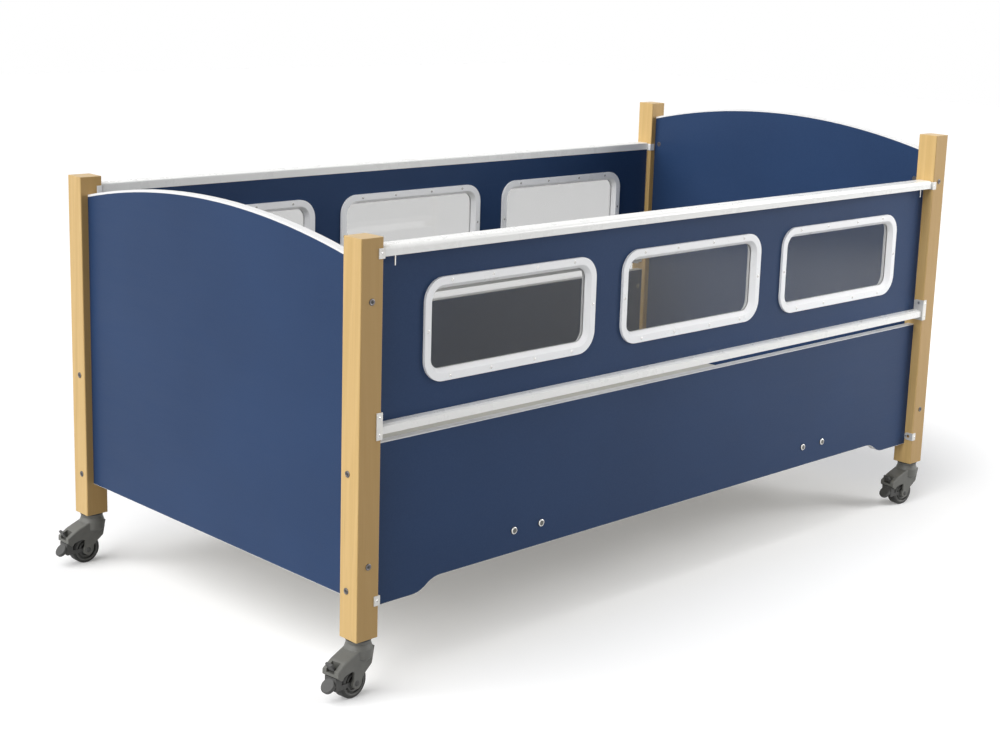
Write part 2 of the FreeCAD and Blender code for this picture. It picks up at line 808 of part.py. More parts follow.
def castor_housing():
    hood = hood_outline().extrude(V(0, 2 * fork_half, 0))
    top_edges = []
    for edge in hood.Edges:
        box = edge.BoundBox
        on_cheek = box.YLength < 1e-6
        over_the_wheel = box.ZMin > -hood_tip_drop - 1e-3 and box.XMax < neck_radius * 0.5
        if on_cheek and over_the_wheel and box.XLength > 1:
            top_edges.append(edge)
    hood = hood.makeFillet(hood_edge_radius, top_edges)
    notch = block(-hood_reach - 1, -notch_half, -notch_floor_drop, -notch_reach, notch_half, 0)
    hood = hood.cut(notch)
    boss = rod(boss_radius, wheel_centre - V(0, fork_half, 0), V(0, 1, 0), 2 * fork_half)
    z_neck = -collar_height - swivel_gap
    cone = Part.makeCone(neck_radius, neck_top_radius, neck_cone_height,
                         V(0, 0, z_neck - neck_cone_height), V(0, 0, 1))
    neck = rod(neck_radius, V(0, 0, -neck_depth), V(0, 0, 1), neck_depth + z_neck - neck_cone_height)
    skirt = Part.makeCone(neck_skirt_radius, neck_radius, neck_skirt_depth - neck_depth,
                          V(0, 0, -neck_skirt_depth), V(0, 0, 1))
    stem = rod(stem_radius, V(0, 0, z_neck), V(0, 0, 1), stem_length)
    body = hood.fuse([boss, cone, neck, skirt, stem])
    well = rod(wheel_radius + fork_clearance, wheel_centre - V(0, slot_half, 0), V(0, 1, 0), 2 * slot_half)
    below = block(
        -hood_reach - 1, -slot_half, -castor_height,
        wheel_centre.x + wheel_radius + fork_clearance, slot_half, wheel_centre.z,
    )
    behind = block(
        -hood_reach - 1, -slot_half, -castor_height,
        wheel_centre.x, slot_half, -hood_tip_drop - hood_tip_height,
    )
    axle_hole = rod(axle_radius + running_clearance, wheel_centre - V(0, fork_half, 0), V(0, 1, 0),
                    2 * fork_half)
    return body.cut([well, below, behind, axle_hole]).removeSplitter()


def castor_hub():
    half = wheel_width / 2
    rim = rod(hub_radius, wheel_centre - V(0, half, 0), V(0, 1, 0), wheel_width)
    dish_depth = (wheel_width - hub_web_width) / 2
    dish_radius = hub_radius * 0.85
    boss = axle_radius * 2
    dishes = []
    for y in (-half, half - dish_depth):
        dish = rod(dish_radius, wheel_centre + V(0, y, 0), V(0, 1, 0), dish_depth)
        dishes.append(dish.cut(rod(boss, wheel_centre + V(0, y, 0), V(0, 1, 0), dish_depth)))
    axle = rod(axle_radius, wheel_centre - V(0, fork_half, 0), V(0, 1, 0), 2 * fork_half)
    return rim.cut(dishes).fuse(axle)


def castor_tyre():
    half = wheel_width / 2
    tyre = rod(wheel_radius, wheel_centre - V(0, half, 0), V(0, 1, 0), wheel_width)
    rims = [edge for edge in tyre.Edges if edge.BoundBox.YLength < 1e-3]
    tyre = tyre.makeFillet(tyre_edge_radius, rims)
    return tyre.cut(rod(hub_radius, wheel_centre - V(0, half, 0), V(0, 1, 0), wheel_width))


def castor_pedal():
    """Round tilted brake pedal on two arms that hang on the axle inside the cheeks of the fork."""
    middle = V(-pedal_reach, 0, -pedal_drop)
    facing = V(-math.sin(pedal_slope), 0, math.cos(pedal_slope))
    pad = rod(pedal_radius, middle - facing * (pedal_thickness / 2), facing, pedal_thickness)
    rims = [edge for edge in pad.Edges if edge.BoundBox.YLength > pedal_radius]
    pad = pad.makeFillet(pedal_edge_radius, rims)
    arm_in = wheel_width / 2 + pedal_side_gap
    arm_out = arm_in + pedal_arm_thickness
    x_bar = wheel_centre.x - wheel_radius - fork_clearance
    z0 = wheel_centre.z - pedal_arm_height / 2
    z1 = z0 + pedal_arm_height
    x_pad = -pedal_reach + pedal_radius * 0.35
    z_bar = -hood_tip_drop - hood_tip_height - pedal_lift_gap
    pieces = [block(x_pad, -arm_out, z0, x_bar, arm_out, z_bar)]
    holes = []
    for y in (-arm_out, arm_in):
        arm = block(x_bar - 1, y, z0, wheel_centre.x, y + pedal_arm_thickness, z1)
        eye_start = V(wheel_centre.x, y, wheel_centre.z)
        eye = rod(pedal_arm_height / 2 + 1, eye_start, V(0, 1, 0), pedal_arm_thickness)
        pieces += [arm, eye]
        bore = axle_radius + pedal_bore_clearance
        holes.append(rod(bore, eye_start, V(0, 1, 0), pedal_arm_thickness))
    return pad.fuse(pieces).cut(holes)


def make_castors():
    pieces = {
        "housing": castor_housing(),
        "hub": castor_hub(),
        "tyre": castor_tyre(),
        "pedal": castor_pedal(),
    }
    corners = {
        "front_foot": (x_foot + post_middle, y_front + post_middle, front_foot_heading),
        "front_head": (x_head - post_middle, y_front + post_middle, front_head_heading),
        "back_foot": (x_foot + post_middle, -y_front - post_middle, back_foot_heading),
        "back_head": (x_head - post_middle, -y_front - post_middle, back_head_heading),
    }
    sockets = []
    for corner, (x, y, heading) in corners.items():
        for name, shape in pieces.items():
            placed = shape.copy()
            placed.rotate(V(0, 0, 0), V(0, 0, 1), -heading)
            placed.translate(V(x, y, castor_height))
            save("castor_" + corner + "_" + name, [placed])
        placed = socket()
        placed.translate(V(x, y, castor_height))
        sockets.append(placed)
    save("castor_sockets", sockets)


os.makedirs("parts", exist_ok=True)
make_posts_and_bolts()
make_end_board(foot_post_length, foot_board_crown, "foot", lambda shape: shape)
make_end_board(head_post_length, head_board_crown, "head", swap_ends)
make_side_panels()
make_mattress_base()
make_brackets_and_keepers()
make_gates()
make_castors()
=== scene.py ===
import json
import math
import random

import bmesh
import bpy
from mathutils import Matrix, Vector


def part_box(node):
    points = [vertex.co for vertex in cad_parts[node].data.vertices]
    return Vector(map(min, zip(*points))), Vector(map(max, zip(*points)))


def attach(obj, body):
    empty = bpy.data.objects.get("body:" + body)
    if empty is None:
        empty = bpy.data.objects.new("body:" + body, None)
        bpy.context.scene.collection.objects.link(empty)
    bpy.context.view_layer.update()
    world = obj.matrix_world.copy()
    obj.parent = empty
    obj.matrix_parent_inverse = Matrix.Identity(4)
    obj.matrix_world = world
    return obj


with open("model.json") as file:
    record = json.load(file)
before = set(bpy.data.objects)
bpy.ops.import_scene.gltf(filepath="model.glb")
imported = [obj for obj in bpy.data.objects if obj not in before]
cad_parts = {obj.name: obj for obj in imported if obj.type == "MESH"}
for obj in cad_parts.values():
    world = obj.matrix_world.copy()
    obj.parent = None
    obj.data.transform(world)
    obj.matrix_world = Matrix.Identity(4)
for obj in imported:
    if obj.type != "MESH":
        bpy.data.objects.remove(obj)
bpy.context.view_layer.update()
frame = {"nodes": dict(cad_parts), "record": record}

random.seed(7)

MM = 0.001

# ------------------------------------------------------------------ places taken from the frame
POST_LOW, POST_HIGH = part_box("post_foot_front")
_, HEAD_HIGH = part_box("post_head_front")
X_FOOT = POST_LOW.x
X_HEAD = HEAD_HIGH.x
X_MID = (X_FOOT + X_HEAD) / 2
Y_FRONT = POST_LOW.y
Z_POST = POST_LOW.z
JOINTS = {joint["name"]: joint for joint in frame["record"]["behaviour"]["joints"]}
SIDES = ("front", "back")
ENDS = ("foot", "head")


# ------------------------------------------------------------------ camera, lights, floor
def make_camera():
    """Three-quarter view from above the foot end; its place is measured from the front foot post."""
    azimuth, elevation, roll = (math.radians(angle) for angle in (45.9345, 12.0924, 2.1803))
    beyond_foot, in_front, above = 1.9758, 2.4321, 1.3129
    focal_px, width_px, height_px = 1715.4, 1000, 750
    centre_px = (561.713, 324.548)
    forward = Vector((
        math.sin(azimuth) * math.cos(elevation),
        math.cos(azimuth) * math.cos(elevation),
        -math.sin(elevation),
    ))
    level = forward.cross(Vector((0, 0, 1))).normalized()
    upright = level.cross(forward)
    right = level * math.cos(roll) + upright * math.sin(roll)
    up = right.cross(forward)
    data = bpy.data.cameras.new("camera")
    camera = bpy.data.objects.new("camera", data)
    bpy.context.scene.collection.objects.link(camera)
    rotation = Matrix((right, up, -forward)).transposed().to_4x4()
    place = Vector((X_FOOT - beyond_foot, Y_FRONT - in_front, Z_POST + above))
    camera.matrix_world = Matrix.Translation(place) @ rotation
    data.sensor_width = 36
    data.lens = focal_px * data.sensor_width / width_px
    data.shift_x = (width_px / 2 - centre_px[0]) / width_px
    data.shift_y = (centre_px[1] - height_px / 2) / width_px
    data.clip_end = 60
    bpy.context.scene.camera = camera


def add_light(name, kind, power, place, target):
    data = bpy.data.lights.new(name, kind)
    data.energy = power
    light = bpy.data.objects.new(name, data)
    bpy.context.scene.collection.objects.link(light)
    light.location = place
    direction = Vector(target) - Vector(place)
    light.rotation_euler = direction.to_track_quat("-Z", "Y").to_euler()
    return data


def sun_light(name, direction, spread, power):
    """Distant light along a direction; only its angle counts, so its place is any point above the floor."""
    place = Vector((0, 0, 5))
    data = add_light(name, "SUN", power, place, place + Vector(direction))
    data.angle = math.radians(spread)


def area_light(name, place, target, size, power):
    data = add_light(name, "AREA", power, place, target)
    data.shape = "RECTANGLE"
    data.size, data.size_y = size


def seen_or_reflected(tree):
    """1 for camera, glossy and transmission rays, and 0 for the rest."""
    path = tree.nodes.new("ShaderNodeLightPath")
    total = tree.nodes.new("ShaderNodeMath")
    total.operation = "ADD"
    tree.links.new(path.outputs["Is Camera Ray"], total.inputs[0])
    tree.links.new(path.outputs["Is Glossy Ray"], total.inputs[1])
    any_of_them = tree.nodes.new("ShaderNodeMath")
    any_of_them.operation = "ADD"
    any_of_them.use_clamp = True
    tree.links.new(total.outputs[0], any_of_them.inputs[0])
    tree.links.new(path.outputs["Is Transmission Ray"], any_of_them.inputs[1])
    return any_of_them.outputs[0]


def make_world(fill):
    """White surroundings to the eye and in reflections; as a light they have the strength of fill."""
    world = bpy.data.worlds.new("studio")
    bpy.context.scene.world = world
    world.use_nodes = True
    tree = world.node_tree
    background = tree.nodes["Background"]
    background.inputs["Color"].default_value = (1, 1, 1, 1)
    strength = tree.nodes.new("ShaderNodeMapRange")
    strength.inputs["To Min"].default_value = fill
    strength.inputs["To Max"].default_value = 1.0
    tree.links.new(seen_or_reflected(tree), strength.inputs["Value"])
    tree.links.new(strength.outputs[0], background.inputs["Strength"])


def make_floor(glow, seen, bounced):
    """Plain pale floor; to the eye it glows a little, and it throws back less light than is seen."""
    half = 14.0
    corners = [(-half, -half, 0), (half, -half, 0), (half, half, 0), (-half, half, 0)]
    mesh = bpy.data.meshes.new("floor")
    mesh.from_pydata(corners, [], [(0, 1, 2, 3)])
    floor = bpy.data.objects.new("floor", mesh)
    bpy.context.scene.collection.objects.link(floor)
    s = Surface("floor", Roughness=0.9, Specular_IOR_Level=0.0, Emission_Color=(1, 1, 1, 1))
    direct = seen_or_reflected(s.tree)
    s.feed(s.shader.inputs["Emission Strength"], s.math("MULTIPLY", glow, direct))
    s.feed(s.shader.inputs["Base Color"], s.span(direct, 0, 1, bounced, seen))
    mesh.materials.append(s.material)


def make_studio():
    bpy.context.scene.view_settings.view_transform = "Standard"
    make_camera()
    make_world(fill=0.23)
    make_floor(glow=0.17, seen=0.88, bounced=0.50)
    sun_light("key", direction=(0.77, -0.10, -0.64), spread=70, power=3.7)
    area_light("fill", place=(3.9, -3.0, 2.2), target=(1.3, 0, 0.6), size=(2.2, 2.0), power=135)


# ------------------------------------------------------------------ material helpers
class Surface:
    """A node material with shorthand for the nodes used here."""

    def __init__(self, name, **fixed):
        self.material = bpy.data.materials.new(name)
        self.material.use_nodes = True
        self.tree = self.material.node_tree
        self.shader = self.tree.nodes["Principled BSDF"]
        for socket, value in fixed.items():
            self.shader.inputs[socket.replace("_", " ")].default_value = value
        self.position = self.node("ShaderNodeTexCoord").outputs["Object"]

    def node(self, kind, settings=None, **inputs):
        node = self.tree.nodes.new(kind)
        for key, value in (settings or {}).items():
            setattr(node, key, value)
        for key, value in inputs.items():
            self.feed(node.inputs[key.replace("_", " ")], value)
        return node

    def feed(self, socket, value):
        if isinstance(value, bpy.types.NodeSocket):
            self.tree.links.new(value, socket)
        else:
            socket.default_value = value

    def stretched(self, scale):
        return self.node("ShaderNodeMapping", Vector=self.position, Scale=scale).outputs[0]

    def noise(self, vector, scale, detail, roughness, distortion=0.0):
        return self.node(
            "ShaderNodeTexNoise", Vector=vector, Scale=scale, Detail=detail,
            Roughness=roughness, Distortion=distortion,
        ).outputs["Fac"]

    def ramp(self, value, stops):
        node = self.node("ShaderNodeValToRGB", Fac=value)
        elements = node.color_ramp.elements
        while len(elements) < len(stops):
            elements.new(0.5)
        for element, (place, colour) in zip(elements, stops):
            element.position = place
            element.color = (*colour, 1)
        return node.outputs[0]

    def span(self, value, low, high, out_low, out_high):
        return self.node(
            "ShaderNodeMapRange", {"clamp": True}, Value=value, From_Min=low, From_Max=high,
            To_Min=out_low, To_Max=out_high,
        ).outputs[0]

    def math(self, operation, *values):
        node = self.node("ShaderNodeMath", {"operation": operation})
        for socket, value in zip(node.inputs, values):
            self.feed(socket, value)
        return node.outputs[0]

    def mix(self, factor, first, second):
        """Blend of two colours; a colour is a socket or three numbers."""
        node = self.node("ShaderNodeMix", {"data_type": "RGBA", "blend_type": "MIX"})
        self.feed(node.inputs[0], factor)
        for socket, value in ((node.inputs[6], first), (node.inputs[7], second)):
            self.feed(socket, (*value, 1) if isinstance(value, tuple) else value)
        return node.outputs[2]

    def edge_wear(self, radius):
        """About 1 within radius of an edge, 0 on flat stretches."""
        bevel = self.node("ShaderNodeBevel", {"samples": 4}, Radius=radius)
        normal = self.node("ShaderNodeNewGeometry").outputs["Normal"]
        dot = self.node("ShaderNodeVectorMath", {"operation": "DOT_PRODUCT"})
        self.feed(dot.inputs[0], bevel.outputs[0])
        self.feed(dot.inputs[1], normal)
        return self.span(dot.outputs["Value"], 0.995, 0.9, 0.0, 1.0)

    def bump(self, height, strength, distance, rounding):
        """Relief from a height, over edges that look rounded by a radius."""
        node = self.node("ShaderNodeBump", Height=height, Strength=strength, Distance=distance)
        bevel = self.node("ShaderNodeBevel", {"samples": 4}, Radius=rounding)
        self.feed(node.inputs["Normal"], bevel.outputs[0])
        self.feed(self.shader.inputs["Normal"], node.outputs[0])

    def finish(self, colour, roughness):
        self.feed(self.shader.inputs["Base Color"], colour)
        self.feed(self.shader.inputs["Roughness"], roughness)
        return self.material


def scaled(colour, share, lift=0.0):
    """The colour times a share, lifted by an amount and held below 1."""
    return tuple(min(1, c * share + lift) for c in colour)


def wood(name, along, tones, gloss):
    """Lacquered timber with its grain along one axis: broad figure, fine fibres, small dark pores, and
    painted shade on the faces that look along Y.
    """
    s = Surface(name, Coat_Weight=gloss, Coat_Roughness=0.18, Specular_IOR_Level=0.3)
    pale, mid, dark = tones
    lengthwise = [0.06 if axis == along else 1 for axis in "XYZ"]
    fibre_scale = [c * (8 if c == 1 else 1) for c in lengthwise]
    pore_scale = [c * (14 if c == 1 else 3) for c in lengthwise]
    figure_space = s.stretched(lengthwise)
    warp = s.noise(figure_space, scale=9, detail=3, roughness=0.55, distortion=0.6)
    rings = s.node(
        "ShaderNodeTexWave", {"wave_type": "BANDS", "bands_direction": "DIAGONAL"},
        Vector=figure_space, Scale=14, Distortion=7.0, Detail=3.0, Detail_Scale=1.2,
    ).outputs["Fac"]
    fibre = s.noise(s.stretched(fibre_scale), scale=55, detail=6, roughness=0.7)
    pores = s.noise(s.stretched(pore_scale), scale=40, detail=2, roughness=0.5)
    base = s.ramp(s.math("ADD", s.math("MULTIPLY", rings, 0.35), s.math("MULTIPLY", warp, 0.65)), [
        (0.28, mid), (0.52, pale), (0.72, mid), (0.9, dark),
    ])
    streaked = s.mix(s.span(fibre, 0.45, 0.75, 0.0, 0.42), base, dark)
    pored = s.mix(s.span(pores, 0.68, 0.76, 0.0, 0.5), streaked, scaled(dark, 0.55))
    # painted shade: the faces that look along Y are made darker and browner, standing in for the shade they
    # get from the lights
    normal = s.node("ShaderNodeNewGeometry").outputs["Normal"]
    _, facing_side, _ = s.node("ShaderNodeSeparateXYZ", Vector=normal).outputs
    painted_y_shade = s.span(s.math("ABSOLUTE", facing_side), 0.6, 0.9, 0.0, 0.7)
    painted_shade_colour = tuple(c * share for c, share in zip(mid, (0.64, 0.58, 0.50)))
    y_shaded = s.mix(painted_y_shade, pored, painted_shade_colour)
    worn = s.mix(s.math("MULTIPLY", s.edge_wear(0.003), 0.35), y_shaded, scaled(pale, 1.15))
    relief = s.math("ADD", fibre, s.math("MULTIPLY", pores, -0.6))
    s.bump(relief, strength=0.25, distance=0.0004, rounding=0.0015)
    return s.finish(worn, s.span(fibre, 0.3, 0.8, 0.36, 0.52))


def laminate(name, colour):
    """Melamine-faced board: near-flat colour, faint cloudiness, a fine pearl texture and rubbed edges."""
    s = Surface(name, Specular_IOR_Level=0.14)
    cloud = s.noise(s.position, scale=2.2, detail=4, roughness=0.55)
    speck = s.noise(s.position, scale=420, detail=2, roughness=0.5)
    scuff = s.noise(s.stretched((1, 1, 7)), scale=6, detail=6, roughness=0.75)
    base = s.mix(s.span(cloud, 0.3, 0.7, 0.0, 1.0), scaled(colour, 0.92), scaled(colour, 1.10))
    fine = s.mix(s.span(speck, 0.35, 0.75, 0.0, 0.12), base, scaled(colour, 1.9, 0.02))
    rubbed = tuple(c * 2.2 + 0.03 for c in colour)
    worn = s.mix(s.math("MULTIPLY", s.edge_wear(0.0015), 0.18), fine, rubbed)
    pearl = s.noise(s.position, scale=900, detail=2, roughness=0.6)
    s.bump(pearl, strength=0.10, distance=0.0002, rounding=0.0008)
    return s.finish(worn, s.span(scuff, 0.35, 0.75, 0.34, 0.46))


def white_plastic(name, colour, roughness, line_scale=(6, 6, 6)):
    """White moulded or extruded plastic, with faint greyed handling marks and drawn lines."""
    s = Surface(name, Specular_IOR_Level=0.5, Coat_Weight=0.12, Coat_Roughness=0.12)
    marks = s.noise(s.position, scale=16, detail=6, roughness=0.7)
    lines = s.noise(s.stretched(line_scale), scale=12, detail=3, roughness=0.6)
    base = s.mix(s.span(marks, 0.5, 0.8, 0.0, 0.12), colour, scaled(colour, 0.9))
    fine = s.mix(s.span(lines, 0.4, 0.8, 0.0, 0.07), base, scaled(colour, 0.93))
    s.bump(lines, strength=0.03, distance=0.0002, rounding=0.001)
    return s.finish(fine, s.span(marks, 0.3, 0.8, roughness - 0.05, roughness + 0.1))


def metal(name, colour, roughness, grain=(1, 1, 20), metallic=1.0):
    """Plated or brushed steel with directional scratches and slight tarnish."""
    s = Surface(name, Metallic=metallic)
    brushed = s.noise(s.stretched(grain), scale=160, detail=4, roughness=0.7)
    tarnish = s.noise(s.position, scale=45, detail=4, roughness=0.6)
    base = s.mix(s.span(tarnish, 0.4, 0.75, 0.0, 0.5), colour, scaled(colour, 0.7))
    s.bump(brushed, strength=0.12, distance=0.0002, rounding=0.0004)
    return s.finish(base, s.span(brushed, 0.3, 0.7, roughness - 0.07, roughness + 0.1))


def moulded(name, colour, roughness, grain_scale=500, dust=0.15):
    """Textured nylon or rubber with dust in its grain and paler rubbed edges."""
    s = Surface(name, Specular_IOR_Level=0.45)
    texture = s.node(
        "ShaderNodeTexVoronoi", {"feature": "F1"}, Vector=s.position, Scale=grain_scale,
    ).outputs["Distance"]
    dirt = s.noise(s.position, scale=35, detail=5, roughness=0.7)
    pale = scaled(colour, 1.6, 0.05)
    base = s.mix(s.span(dirt, 0.35, 0.8, 0.0, dust * 2), colour, pale)
    worn = s.mix(s.math("MULTIPLY", s.edge_wear(0.0012), 0.3), base, pale)
    s.bump(texture, strength=0.15, distance=0.0003, rounding=0.0008)
    return s.finish(worn, s.span(dirt, 0.3, 0.8, roughness, roughness + 0.15))


def acrylic(name):
    """Clear grey-cast sheet: mostly see-through, with a sharp sheen that faint wiping marks soften."""
    s = Surface(name, Alpha=0.27, Specular_IOR_Level=0.72, IOR=1.5)
    clean, smeared = (0.048, 0.044, 0.028), (0.058, 0.054, 0.036)
    wiped = s.noise(s.stretched((0.5, 1, 2)), scale=3, detail=3, roughness=0.5)
    colour = s.mix(s.span(wiped, 0.3, 0.8, 0.0, 1.0), clean, smeared)
    return s.finish(colour, s.span(wiped, 0.3, 0.9, 0.01, 0.03))


# ------------------------------------------------------------------ finishes by material slot
# Pale, mid and dark tones of each wood.
BEECH = ((0.625, 0.425, 0.178), (0.575, 0.383, 0.150), (0.45, 0.285, 0.105))
BIRCH = ((0.80, 0.68, 0.48), (0.74, 0.61, 0.41), (0.60, 0.46, 0.28))
NAVY = (0.018, 0.042, 0.106)


def make_finishes():
    return {
        "beech": wood("beech", "Z", BEECH, gloss=0.12),
        "birch": wood("birch", "Y", BIRCH, gloss=0.05),
        "deck_laminate": laminate("deck_laminate", (0.60, 0.58, 0.51)),
        "navy_laminate": laminate("navy_laminate", NAVY),
        "white_edging": white_plastic("white_edging", (0.80, 0.80, 0.80), 0.35),
        "rail_white": white_plastic("rail_white", (0.90, 0.90, 0.885), 0.28, line_scale=(0.4, 40, 40)),
        "ring_white": white_plastic("ring_white", (0.94, 0.945, 0.96), 0.3),
        "clear_acrylic": acrylic("clear_acrylic"),
        "nickel_screws": metal("nickel_screws", (0.68, 0.67, 0.65), 0.28),
        "zinc_plate": metal("zinc_plate", (0.70, 0.69, 0.66), 0.40, grain=(1, 1, 12), metallic=0.35),
        "dark_steel": metal("dark_steel", (0.16, 0.15, 0.15), 0.36),
        "castor_grey": moulded("castor_grey", (0.11, 0.11, 0.10), 0.42),
        "castor_hub": moulded("castor_hub", (0.09, 0.09, 0.085), 0.45),
        "castor_tread": moulded("castor_tread", (0.022, 0.022, 0.021), 0.6, grain_scale=260, dust=0.2),
        "castor_pedal": moulded("castor_pedal", (0.045, 0.045, 0.043), 0.45),
    }


def dress_cad_nodes(finishes):
    for part in frame["record"]["subparts"]:
        node = frame["nodes"][part["node"]]
        node.data.materials.clear()
        node.data.materials.append(finishes[part["material_slot"]])


# ------------------------------------------------------------------ mesh helpers
def mesh_of(node):
    """The node's mesh in world coordinates, as a new bmesh."""
    part = frame["nodes"][node]
    bm = bmesh.new()
    bm.from_mesh(part.data)
    bm.transform(part.matrix_world)
    bmesh.ops.remove_doubles(bm, verts=bm.verts, dist=0.01 * MM)
    return bm


def solids_of(node):
    """Low and high corners of each separate solid of a node, in order of place, so that each run agrees."""
    bm = mesh_of(node)
    left = set(bm.verts)
    boxes = []
    while left:
        stack = [left.pop()]
        found = list(stack)
        while stack:
            for edge in stack.pop().link_edges:
                for vert in edge.verts:
                    if vert in left:
                        left.discard(vert)
                        stack.append(vert)
                        found.append(vert)
        low = Vector(min(v.co[i] for v in found) for i in range(3))
        high = Vector(max(v.co[i] for v in found) for i in range(3))
        boxes.append((low, high))
    bm.free()
    return sorted(boxes, key=lambda box: [round(c / MM, 1) for corner in box for c in corner])


def piece(name, bm, body, slot, smooth=False):
    """Turns a bmesh into an object that rides on a body and has the finish of a slot."""
    bmesh.ops.recalc_face_normals(bm, faces=bm.faces)
    mesh = bpy.data.meshes.new(name)
    for face in bm.faces:
        face.smooth = smooth
    bm.to_mesh(mesh)
    bm.free()
    obj = bpy.data.objects.new(name, mesh)
    bpy.context.scene.collection.objects.link(obj)
    mesh.materials.append(finishes[slot])
    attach(obj, body)


def add_box(bm, low, high, place=Matrix(), ease=0.0):
    """Box between two corners, its edges eased, then moved by a matrix."""
    low, high = Vector(low), Vector(high)
    made = bmesh.ops.create_cube(bm, size=1.0)["verts"]
    for vert in made:
        vert.co = Vector(low[i] + (vert.co[i] + 0.5) * (high[i] - low[i]) for i in range(3))
    if ease:
        edges = list(dict.fromkeys(edge for vert in made for edge in vert.link_edges))
        made = bmesh.ops.bevel(
            bm, geom=edges, offset=ease, segments=2, profile=0.7, affect="EDGES",
        )["verts"]
    bmesh.ops.transform(bm, matrix=place, verts=made)


def add_turned(bm, profile, place, steps=32):
    """Turned shape: (radius, height) points spun round the local Z axis, closed at radius 0."""
    rings = []
    for radius, height in profile:
        if radius < 1e-7:
            rings.append([bm.verts.new(place @ Vector((0, 0, height)))])
            continue
        turns = [2 * math.pi * k / steps for k in range(steps)]
        rings.append([
            bm.verts.new(place @ Vector((radius * math.cos(a), radius * math.sin(a), height))) for a in turns
        ])
    for first, second in zip(rings, rings[1:]):
        for k in range(steps):
            corners = [first[k % len(first)], first[(k + 1) % len(first)]]
            corners += [second[(k + 1) % len(second)], second[k % len(second)]]
            bm.faces.new(list(dict.fromkeys(corners)))


def facing(place, direction):
    """Matrix that puts local Z along a direction at a place."""
    turn = Vector(direction).to_track_quat("Z", "Y").to_matrix().to_4x4()
    return Matrix.Translation(place) @ turn


def turned_at_random(place):
    """The place turned about its local Z by a chance angle, as a screw stops when it is tight."""
    return place @ Matrix.Rotation(random.uniform(0, math.pi), 4, "Z")


# ------------------------------------------------------------------ edge bands and rail ends
def edge_band(name, node, picked, thickness, body, slot):
    """Band on the picked faces of a node: a copy of them pushed out by its thickness."""
    bm = mesh_of(node)
    bm.normal_update()
    unwanted = [face for face in bm.faces if not picked(face.normal, face.calc_center_median())]
    bmesh.ops.delete(bm, geom=unwanted, context="FACES")
    bm.normal_update()
    normals = {vert: vert.normal.copy() for vert in bm.verts}
    outer = bmesh.ops.extrude_face_region(bm, geom=list(bm.faces))["geom"]
    moved = [item for item in outer if isinstance(item, bmesh.types.BMVert)]
    for vert in moved:
        near = min(normals, key=lambda v: (v.co - vert.co).length_squared) if vert not in normals else vert
        vert.co += normals[near] * thickness
    piece(name, bm, body, slot)


def ends_beyond(reach):
    """Picks the faces square to X that lie further than reach from the cot's middle."""
    return lambda normal, centre: abs(normal.x) > 0.99 and abs(centre.x - X_MID) > reach


def shaped_underside(normal, centre):
    """Picks the lower edge of a side panel, its curves between foot and middle included."""
    return normal.z < -0.2 and abs(normal.y) < 0.1


def flat_underside(normal, centre):
    return normal.z < -0.9


def make_edge_bands():
    band = 0.6 * MM
    rail_cap = 1.2 * MM
    panel_end_zone = 0.9        # metres from the cot's middle, short of the panel's ends
    rail_end_zone = 0.92        # and short of the rails' ends
    for side in SIDES:
        gate = "gate_" + side
        edge_band("side_band_" + side, "side_panel_" + side, shaped_underside, band, "frame", "white_edging")
        edge_band(
            "gate_end_band_" + side, gate + "_panel",
            ends_beyond(panel_end_zone), band, gate, "white_edging",
        )
        for rail in ("top_rail", "bottom_rail"):
            edge_band(
                "rail_ends_" + side + "_" + rail, gate + "_" + rail,
                ends_beyond(rail_end_zone), rail_cap, gate, "ring_white",
            )
    for end in ENDS:
        edge_band("board_band_" + end, end + "_board", flat_underside, band, "frame", "white_edging")


# ------------------------------------------------------------------ screw and bolt details
BURIED = 0.2 * MM       # how far an added detail reaches into the solid it lies on


def add_cross_recess_shade(bm, place, reach):
    """Cross slot lying just proud of a screw head, painted dark as the shade inside its recess."""
    width = reach * 0.22
    for across in (False, True):
        long_x, long_y = (width, reach) if across else (reach, width)
        add_box(bm, (-long_x, -long_y, -BURIED), (long_x, long_y, 0.06 * MM), place)


def make_screw_recesses():
    for side in SIDES:
        bm = bmesh.new()
        for low, high in solids_of("gate_" + side + "_window_screws"):
            middle = (low + high) / 2
            for face, way in ((low.y, -1), (high.y, 1)):
                place = facing((middle.x, face, middle.z), (0, way, 0))
                # a dark cross of painted shade stands for the recess in each screw head
                add_cross_recess_shade(bm, turned_at_random(place), 1.5 * MM)
        piece("window_screw_slot_shades_" + side, bm, "gate_" + side, "dark_steel")
    bm = bmesh.new()
    for low, high in solids_of("plate_screws"):
        middle = (low + high) / 2
        way = 1 if middle.x < X_MID else -1
        face = high.x if way > 0 else low.x
        place = facing((face, middle.y, middle.z), (way, 0, 0))
        # a dark cross of painted shade stands for the recess in each screw head
        add_cross_recess_shade(bm, turned_at_random(place), 1.4 * MM)
    piece("plate_screw_slot_shades", bm, "frame", "dark_steel")


def make_bolt_rings():
    """Pressed rim of each frame bolt head, and its hexagon key socket as a near-black disc just proud of the
    head: painted shade for the socket's hollow.
    """
    rims = bmesh.new()
    socket_shades = bmesh.new()
    rim_height = 0.5 * MM
    socket_height = 0.08 * MM
    for low, high in solids_of("frame_bolts"):
        middle = (low + high) / 2
        size = high - low
        axis = 0 if size.x > size.y else 1
        way = -1 if middle[axis] < (X_MID if axis == 0 else 0) else 1
        centre = middle.copy()
        centre[axis] = low[axis] if way < 0 else high[axis]
        direction = [0, 0, 0]
        direction[axis] = way
        place = facing(centre, direction)
        radius = max(size.z, min(size.x, size.y)) / 2
        add_turned(rims, [
            (radius * 0.55, -BURIED), (radius * 0.6, rim_height),
            (radius * 0.9, rim_height), (radius * 1.0, -BURIED),
        ], place)
        # the key socket is a flat near-black disc, painted shade for the hexagon hollow
        add_turned(socket_shades, [
            (0, socket_height), (radius * 0.5, socket_height), (radius * 0.5, -BURIED),
        ], place, 6)
    piece("bolt_head_rims", rims, "frame", "dark_steel", smooth=True)
    piece("bolt_key_socket_shades", socket_shades, "frame", "castor_tread")


